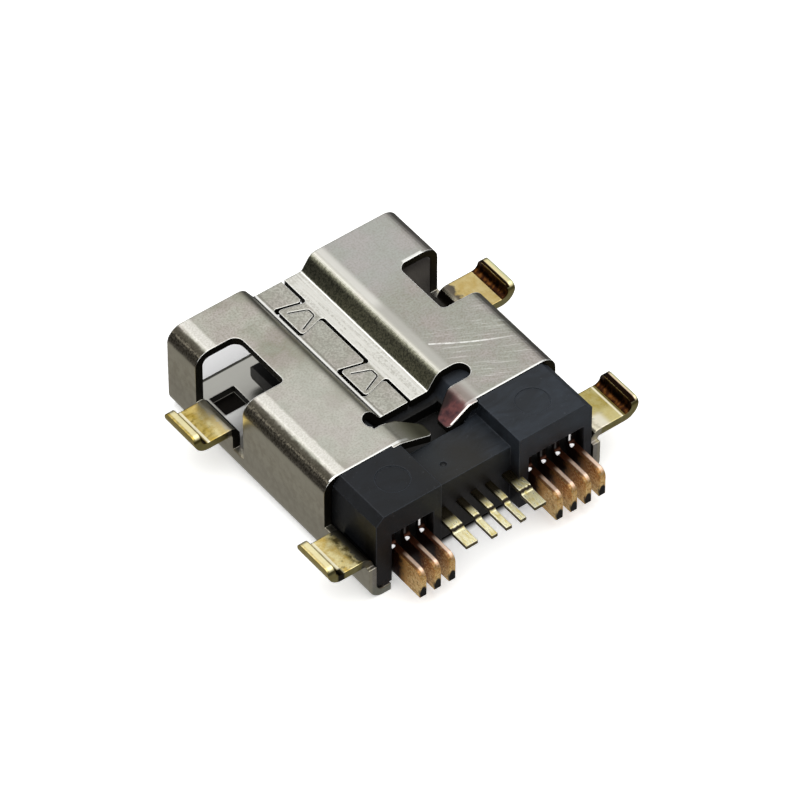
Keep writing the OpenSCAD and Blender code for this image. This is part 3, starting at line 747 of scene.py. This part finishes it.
@dataclass(frozen=True)
class GoldFlashStrip(Finish):
    """Phosphor bronze strip, slit, stamped and flashed with pale gold.

    The gold is even on the pads, with painted shade at the step and in the housing's shade, and a
    painted highlight on the rounded top edges.
    """

    name: str = "gold_flash_strip"
    pale: str = "#FBF4CB"
    deep: str = "#DCCB80"
    # painted shade on the step down
    thin: str = "#241B0E"
    shaded: str = "#2A2416"
    # painted highlight on the rounded top edges
    worn: str = "#FFFBEA"
    cut: str = "#5E5330"
    rub_mm: float = 0.09
    edge_mm: float = 0.03
    relief_mm: float = 0.0015

    def surface(self, at: Coordinates) -> Socket:
        """Layers the gold, its painted highlights and painted shade, and the slit edges.

        Args:
            at: The nodes, with place and facing.

        Returns:
            The shader socket.
        """
        drawn = at.add("Mapping", {"Vector": at.place, "Scale": (1.0, 0.4, 1.0)})
        rub = at.add(
            "TexNoise",
            {"Vector": drawn, "Scale": 1 / self.rub_mm, "Detail": 3.0, "Roughness": 0.55},
        )
        deep = at.add("MapRange", {"Value": rub, "From Min": 0.42, "From Max": 0.66})
        rounded = at.add("Bevel", {"Radius": self.edge_mm * MM}, samples=6)
        likeness = at.add("VectorMath", {0: rounded, 1: at.flat_normal}, 1, operation="DOT_PRODUCT")
        edge = at.add("MapRange", {"Value": likeness, "From Min": 0.985, "From Max": 0.88})
        edge = at.patch(soft=0.2, strength=edge, face_z=UP)
        ragged = at.stirred(rub, 0.08)
        tones = (
            (deep, self.deep),
            # a painted highlight on the rounded top edges
            (edge, self.worn),
            (at.patch(soft=0.1, face_z=(-1.5, 0.3)), self.cut),
            (ragged.patch(soft=0.35, y=(8.2, 9.42)), self.shaded),
            # painted shade on the step
            (ragged.patch(soft=0.04, y=(9.67, 9.76)), self.thin),
        )
        colour = at.layered(self.pale, tones)
        roughness = at.add(
            "MapRange",
            {"Value": rub, "From Min": 0.3, "From Max": 0.7, "To Min": 0.24, "To Max": 0.4},
        )
        normal = at.add("Bump", {"Distance": self.relief_mm * MM, "Height": rub, "Normal": rounded})
        # thin gold over a rubbed strip scatters part of the light
        return at.add(
            "BsdfPrincipled",
            {"Base Color": colour, "Metallic": 0.7, "Roughness": roughness, "Normal": normal},
        )


class TarnishAndShade(Enum):
    """How tarnished a plate is and how deep its painted shade goes: its redness, and how far back
    its dark brown painted shade reaches.
    """

    SLIGHT = (0.15, 9.62)
    PLAIN = (0.4, 9.62)
    DEEP = (0.8, 9.86)


@dataclass(frozen=True)
class CopperAlloyPlate(Finish):
    """Copper alloy plate, blanked to shape, with a thin gold flash that tarnished near the housing.

    The flat sides go from dark brown painted shade at the stem to orange and pale gold at the
    nose. The upper edge is painted brown for shade, with a pinkish painted highlight, and the
    blanked end is dark at its foot.
    """

    name: str = "copper_alloy_plate"
    middle_x: float = 0.0
    has_stem_highlight: bool = False
    orange: str = "#F6B96A"
    red: str = "#98522A"
    # painted shade, dark brown, near the housing and between the plates
    brown: str = "#35180B"
    # painted highlight along the upper edge
    streak: str = "#FFE0C8"
    tip: str = "#FFDC94"
    end: str = "#14100C"
    glint_colour: str = "#FFFFFF"
    tarnish_and_shade: TarnishAndShade = TarnishAndShade.PLAIN
    rub_mm: float = 0.14
    # the blanked grain is finer than this, and is drawn two pixels wide so that it shows
    spark_mm: float = 0.06
    edge_mm: float = 0.03
    relief_mm: float = 0.003

    def surface(self, at: Coordinates) -> Socket:
        """Layers the red tint, painted shade, a painted highlight on the upper edge, the blanked
        end and the painted glints.

        Args:
            at: The nodes, with place and facing.

        Returns:
            The shader socket.
        """
        redness, shade_to = self.tarnish_and_shade.value
        rub = at.add(
            "TexNoise",
            {"Vector": at.place, "Scale": 1 / self.rub_mm, "Detail": 3.0, "Roughness": 0.6},
        )
        mottled = at.add(
            "MapRange", {"Value": rub, "From Min": 0.45, "From Max": 0.68, "To Max": 0.6}
        )
        ragged = at.stirred(rub, 0.5)
        across = at.add("Math", {0: at.x, 1: self.middle_x}, operation="SUBTRACT")
        beside = replace(at, x=across)
        # a painted glint, white and round, at the foot of each stem
        painted_glint = self._round_spot(at, (self.middle_x + 0.09, 9.14, 1.42), (0.1, 0.06, 0.06))
        foot = self._round_spot(at, (self.middle_x, 10.45, 0.62), (0.12, 0.14, 0.26))
        # two of the stems get a painted highlight above their painted glints
        stem = {"x": (0.02, 0.08), "y": (8.8, 9.12), "z": (1.5, 2.05)}
        stem_highlight = beside.patch(soft=0.04, strength=0.9 if self.has_stem_highlight else 0.05, **stem)
        sparks = at.add("TexNoise", {"Vector": at.place, "Scale": 1 / self.spark_mm})
        glitter, pores = (
            at.add("MapRange", {"Value": sparks, "From Min": low, "From Max": high, "To Max": most})
            for low, high, most in ((0.52, 0.62, 0.8), (0.44, 0.36, 0.4))
        )
        glitter, pores = (
            at.patch(soft=0.4, strength=share, y=(9.85, 10.8)) for share in (glitter, pores)
        )
        lit = at.patch(soft=0.3, y=(9.6, 10.34))
        edge = {"x": (-0.1, 0.01), "z": (1.2, 1.5), "face_z": (0.3, 1.5)}
        streak = beside.patch(soft=0.05, strength=lit, **edge)
        tones = (
            (ragged.patch(soft=0.9, strength=0.85, y=(9.9, 11.0), z=(-0.5, 1.15)), self.tip),
            (mottled, "#C07A38"),
            (ragged.patch(soft=0.6, strength=redness, y=(8.0, 10.2)), self.red),
            (glitter, "#FFDFA0"),
            (pores, "#6B3416"),
            # painted shade: dark brown near the housing and on the upper edges
            (ragged.patch(soft=0.4, y=(8.0, shade_to)), self.brown),
            (ragged.patch(soft=0.4, strength=0.8, y=(8.0, 10.36), face_z=(0.45, 1.5)), "#4A2614"),
            # a painted highlight along the upper edge
            (streak, self.streak),
            (foot, self.end),
            # painted shade on the stem in its pocket, then the painted stem highlight and the
            # painted glint
            (beside.patch(soft=0.05, y=(8.2, 9.12), z=(1.5, 2.2)), "#1F140E"),
            (stem_highlight, "#E6E0DC"),
            (painted_glint, self.glint_colour),
        )
        colour = at.layered(self.orange, tones)
        bright = at.add("Math", {0: painted_glint, 1: stem_highlight}, operation="MAXIMUM")
        metal = at.add("MapRange", {"Value": bright, "To Min": 0.75, "To Max": 0.1})
        # the painted glints and the painted stem highlights glow a little, standing for a lamp that
        # they would mirror
        glint = at.add("Math", {0: bright, 1: 0.5}, operation="MULTIPLY")
        roughness = at.add(
            "MapRange",
            {"Value": rub, "From Min": 0.3, "From Max": 0.7, "To Min": 0.28, "To Max": 0.42},
        )
        rounded = at.add("Bevel", {"Radius": self.edge_mm * MM}, samples=6)
        normal = at.add("Bump", {"Distance": self.relief_mm * MM, "Height": rub, "Normal": rounded})
        return at.add(
            "BsdfPrincipled",
            {
                "Base Color": colour,
                "Metallic": metal,
                "Roughness": roughness,
                "Normal": normal,
                "Emission Color": linear(self.glint_colour),
                "Emission Strength": glint,
            },
        )

    def _round_spot(self, at: Coordinates, middle: Point, radii: Point) -> Socket:
        """Finds the surface inside an ellipsoid.

        Args:
            at: The nodes, with place and facing.
            middle: The ellipsoid's middle, in millimetres.
            radii: Its half sizes along each axis, in millimetres.

        Returns:
            A share that is 1 inside.
        """
        spot = at.add(
            "Mapping",
            {"Vector": at.place, "Location": middle, "Scale": radii},
            vector_type="TEXTURE",
        )
        far = at.add("VectorMath", {0: spot}, 1, operation="LENGTH")
        return at.add("MapRange", {"Value": far, "From Min": 1.15, "From Max": 0.8}, **SMOOTH)


@dataclass(frozen=True)
class MattePaper(Finish):
    """White background paper on a light table, with a fibre too fine to show.

    The light from below keeps the part's shadow faint. Shade is painted on the paper under the
    part, and a painted shadow lies in front of its mouth; there the paper's glow is turned down.
    """

    name: str = "matte_paper"
    sheet: str = "#FDFDFC"
    shade_under_part: str = "#1B1815"
    mouth_shadow: str = "#F3F3F3"
    glow: float = 0.42

    def surface(self, at: Coordinates) -> Socket:
        """Gives white paper with painted shade under the part and a painted shadow before its
        mouth.

        Args:
            at: The nodes, with place and facing.

        Returns:
            The shader socket.
        """
        # painted shade under the part
        under = at.patch(soft=0.25, x=(-3.75, 3.75), y=(0.3, 8.85))
        # a painted shadow in front of the mouth, fading with distance
        width = at.patch(soft=0.5, x=(-3.2, 3.2))
        mouth_shadow = at.patch(soft=1.2, strength=width, y=(-1.5, 1.5))
        colour = at.layered(self.sheet, ((mouth_shadow, self.mouth_shadow), (under, self.shade_under_part)))
        dim = at.add("Math", {0: mouth_shadow, 1: under}, operation="MAXIMUM")
        glow = at.add("MapRange", {"Value": dim, "To Min": self.glow, "To Max": 0.0})
        return at.add(
            "BsdfPrincipled",
            {
                "Base Color": colour,
                "Roughness": 0.9,
                "Specular IOR Level": 0.1,
                "Emission Color": linear(self.sheet),
                "Emission Strength": glow,
            },
        )


@dataclass(frozen=True)
class LitWall(Finish):
    """Far studio wall, lit evenly to the tone of the paper."""

    name: str = "lit_wall"
    tone: str = "#FFFFFF"

    def surface(self, at: Coordinates) -> Socket:
        """Gives an even glow."""
        return at.add("Emission", {"Color": linear(self.tone), "Strength": 1.0})


# Sub-assemblies


class SubAssembly(ABC):
    """A group of pieces that share a job on the part and are dressed together."""

    label: str

    @abstractmethod
    def dress(self) -> Iterator[str]:
        """Gives each piece its finish.

        Yields:
            The name of each piece, once it is dressed.
        """

    def put_on(self, node: str, finish: Finish) -> str:
        """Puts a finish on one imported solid.

        Args:
            node: The solid's name.
            finish: What it is made of.

        Returns:
            The solid's name.
        """
        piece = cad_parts[node]
        piece.data.materials.clear()
        piece.data.materials.append(finish.material())
        return node


@dataclass(frozen=True)
class FoldedShell(SubAssembly):
    """The folded sheet around the port, with its legs, windows and locking tabs."""

    label: str = "shell"
    node: str = "shell"
    finish: StampedNickelSteel = field(default_factory=StampedNickelSteel)

    def dress(self) -> Iterator[str]:
        """Dresses the one stamping."""
        yield self.put_on(self.node, self.finish)


@dataclass(frozen=True)
class MouldedHousing(SubAssembly):
    """The moulding that carries every contact."""

    label: str = "housing"
    node: str = "housing"
    finish: MouldedPolymer = field(default_factory=MouldedPolymer)

    def dress(self) -> Iterator[str]:
        """Dresses the one moulding."""
        yield self.put_on(self.node, self.finish)


@dataclass(frozen=True)
class DataContacts(SubAssembly):
    """The row of five strips between the side blocks."""

    label: str = "data and power contacts"
    stem: str = "usb_contact"
    count: int = 5
    finish: GoldFlashStrip = field(default_factory=GoldFlashStrip)

    def dress(self) -> Iterator[str]:
        """Dresses the strips one by one."""
        for number in range(1, self.count + 1):
            yield self.put_on(f"{self.stem}_{number}", self.finish)


@dataclass(frozen=True)
class SideContacts(SubAssembly):
    """The upright plates in both side blocks."""

    label: str = "side contacts"
    stem: str = "side_contact"
    # the plates whose stems get a painted highlight
    stem_highlight: tuple[int, ...] = (3, 7)
    # from the outermost plate on the left to the outermost one on the right; the second and third
    # plates, each seen behind another, get painted shade further out
    tarnish_and_shade: tuple[TarnishAndShade, ...] = (
        TarnishAndShade.SLIGHT,
        TarnishAndShade.DEEP,
        TarnishAndShade.DEEP,
        TarnishAndShade.SLIGHT,
        TarnishAndShade.PLAIN,
        TarnishAndShade.PLAIN,
        TarnishAndShade.PLAIN,
    )

    def dress(self) -> Iterator[str]:
        """Dresses each plate about its own middle.

        Yields:
            The name of each plate, once it is dressed.
        """
        for number, tarnish_and_shade in enumerate(self.tarnish_and_shade, start=1):
            node = f"{self.stem}_{number}"
            low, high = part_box(node)
            finish = CopperAlloyPlate(
                name=f"copper_alloy_plate_{number}",
                middle_x=(low.x + high.x) / 2 / MM,
                has_stem_highlight=number in self.stem_highlight,
                tarnish_and_shade=tarnish_and_shade,
            )
            yield self.put_on(node, finish)


# Studio


class Place(Enum):
    """Where a soft box hangs, as a direction from the part."""

    OVERHEAD = (0.05, 0.2, 1.0)
    BEHIND_LEFT = (0.33, -0.55, 0.77)


@dataclass(frozen=True)
class SoftBox:
    """One soft patch of light in the tent around the part."""

    place: Place
    radiance: float
    # cosines of the angles at which the patch begins and is full
    rim: float
    core: float


@dataclass(frozen=True)
class LightTent:
    """A white tent that is bright above, dim at the horizon and grey below."""

    # sine of the elevation and radiance there
    steps: tuple[Span, ...] = (
        (-1.0, 0.30),
        (-0.7, 0.30),
        (-0.4, 0.12),
        (-0.1, 0.05),
        (0.12, 0.06),
        (0.3, 0.2),
        (0.55, 0.6),
        (0.75, 0.85),
        (1.0, 1.3),
    )
    white: str = "#FFFFFF"
    boxes: tuple[SoftBox, ...] = (
        SoftBox(Place.OVERHEAD, 0.9, 0.72, 0.93),
        SoftBox(Place.BEHIND_LEFT, 1.1, 0.9, 0.985),
    )

    def build(self) -> None:
        """Makes the tent as the scene's world."""
        world = bpy.data.worlds.new("light_tent")
        bpy.context.scene.world = world
        world.use_nodes = True
        world.node_tree.nodes.clear()
        graph = Graph(world.node_tree)
        towards = graph.add("TexCoord", out="Generated")
        up = graph.add("SeparateXYZ", {0: towards}, out=2)
        peak = max(radiance for _, radiance in self.steps)
        along = graph.add("MapRange", {"Value": up, "From Min": -1.0, "From Max": 1.0})
        tone = graph.add("ValToRGB", {0: along})
        ramp = tone.node.color_ramp
        ramp.interpolation = "EASE"
        while len(ramp.elements) < len(self.steps):
            ramp.elements.new(0.5)
        for stop, (height, radiance) in zip(ramp.elements, self.steps):
            stop.position = (height + 1) / 2
            stop.color = (radiance / peak,) * 3 + (1.0,)
        total = graph.add("Math", {0: tone, 1: peak}, operation="MULTIPLY")
        for box in self.boxes:
            axis = Vector(box.place.value).normalized()
            cos = graph.add("VectorMath", {0: towards, 1: axis}, 1, operation="DOT_PRODUCT")
            fade = {"Value": cos, "From Min": box.rim, "From Max": box.core, "To Max": box.radiance}
            patch = graph.add("MapRange", fade, **SMOOTH)
            total = graph.add("Math", {0: total, 1: patch}, operation="ADD")
        glow = graph.add("Background", {"Color": linear(self.white), "Strength": total})
        graph.add("OutputWorld", {"Surface": glow})


@dataclass(frozen=True)
class Studio:
    """Paper floor, far wall and light tent around the part."""

    floor_radius: float = 1.2
    wall_height: float = 1.2
    sides: int = 64
    # the paper lies a hair below the shell, so that the two faces don't fight
    paper_level: float = -0.004 * MM
    tent: LightTent = field(default_factory=LightTent)

    def build(self) -> Iterator[str]:
        """Makes the floor and the wall and hangs the lights.

        Yields:
            The name of each thing, once it is made.
        """
        self.tent.build()
        yield "light_tent"
        turns = [2 * math.pi * i / self.sides for i in range(self.sides)]
        low, high = (
            [(self.floor_radius * math.cos(t), self.floor_radius * math.sin(t), z) for t in turns]
            for z in (self.paper_level, self.wall_height)
        )
        floor = self._mesh("paper_floor", low, [range(self.sides)], MattePaper())
        # the paper would whiten the polished walls more than the real table did
        floor.visible_glossy = False
        yield floor.name
        faces = [
            (i, (i + 1) % self.sides, self.sides + (i + 1) % self.sides, self.sides + i)
            for i in range(self.sides)
        ]
        wall = self._mesh("studio_wall", low + high, faces, LitWall())
        wall.visible_glossy = wall.visible_diffuse = wall.visible_shadow = False
        yield wall.name

    def _mesh(
        self, name: str, points: Sequence[Point], faces: Sequence[Sequence[int]], finish: Finish
    ) -> bpy.types.Object:
        """Makes one stage object from points and faces.

        Args:
            name: The object's name.
            points: Corners, in metres.
            faces: Corner numbers of each face.
            finish: What it is made of.

        Returns:
            The object.
        """
        mesh = bpy.data.meshes.new(name)
        mesh.from_pydata(points, [], [tuple(f) for f in faces])
        mesh.materials.append(finish.material())
        made = bpy.data.objects.new(name, mesh)
        bpy.context.scene.collection.objects.link(made)
        return made


@dataclass(frozen=True)
class ProductCamera:
    """The long lens that looks down on the tails from the rear left."""

    azimuth: float = 142.7
    elevation: float = 46.62
    distance: float = 201.9 * MM
    lens: float = 325.45
    sensor: float = 36.0
    clip: Span = (0.01, 10.0)
    target: Point = (-0.387 * MM, 4.937 * MM, 1.5 * MM)

    def build(self) -> str:
        """Places the camera and makes it the scene's.

        Returns:
            The camera's name.
        """
        turn, rise = math.radians(self.azimuth), math.radians(self.elevation)
        back = Vector(
            (math.sin(turn) * math.cos(rise), -math.cos(turn) * math.cos(rise), math.sin(rise))
        )
        data = bpy.data.cameras.new("product_camera")
        data.lens = self.lens
        data.sensor_width = self.sensor
        data.clip_start, data.clip_end = self.clip
        camera = bpy.data.objects.new("product_camera", data)
        camera.location = Vector(self.target) + back * self.distance
        camera.rotation_euler = back.to_track_quat("Z", "Y").to_euler()
        bpy.context.scene.collection.objects.link(camera)
        bpy.context.scene.camera = camera
        return camera.name


def main() -> None:
    """Sets the camera, dresses every sub-assembly and builds the studio around them."""
    logging.basicConfig(level=logging.INFO, format="%(name)s: %(message)s")
    # colours go to the picture as they are, so that the hex values can be checked in it
    bpy.context.scene.view_settings.view_transform = "Standard"
    LOG.info("camera: %s", ProductCamera().build())
    assemblies: tuple[SubAssembly, ...] = (
        FoldedShell(),
        MouldedHousing(),
        DataContacts(),
        SideContacts(),
    )
    for assembly in assemblies:
        for piece in assembly.dress():
            LOG.info("%s: %s dressed", assembly.label, piece)
    for thing in Studio().build():
        LOG.info("studio: %s", thing)


if __name__ == "__main__":
    main()
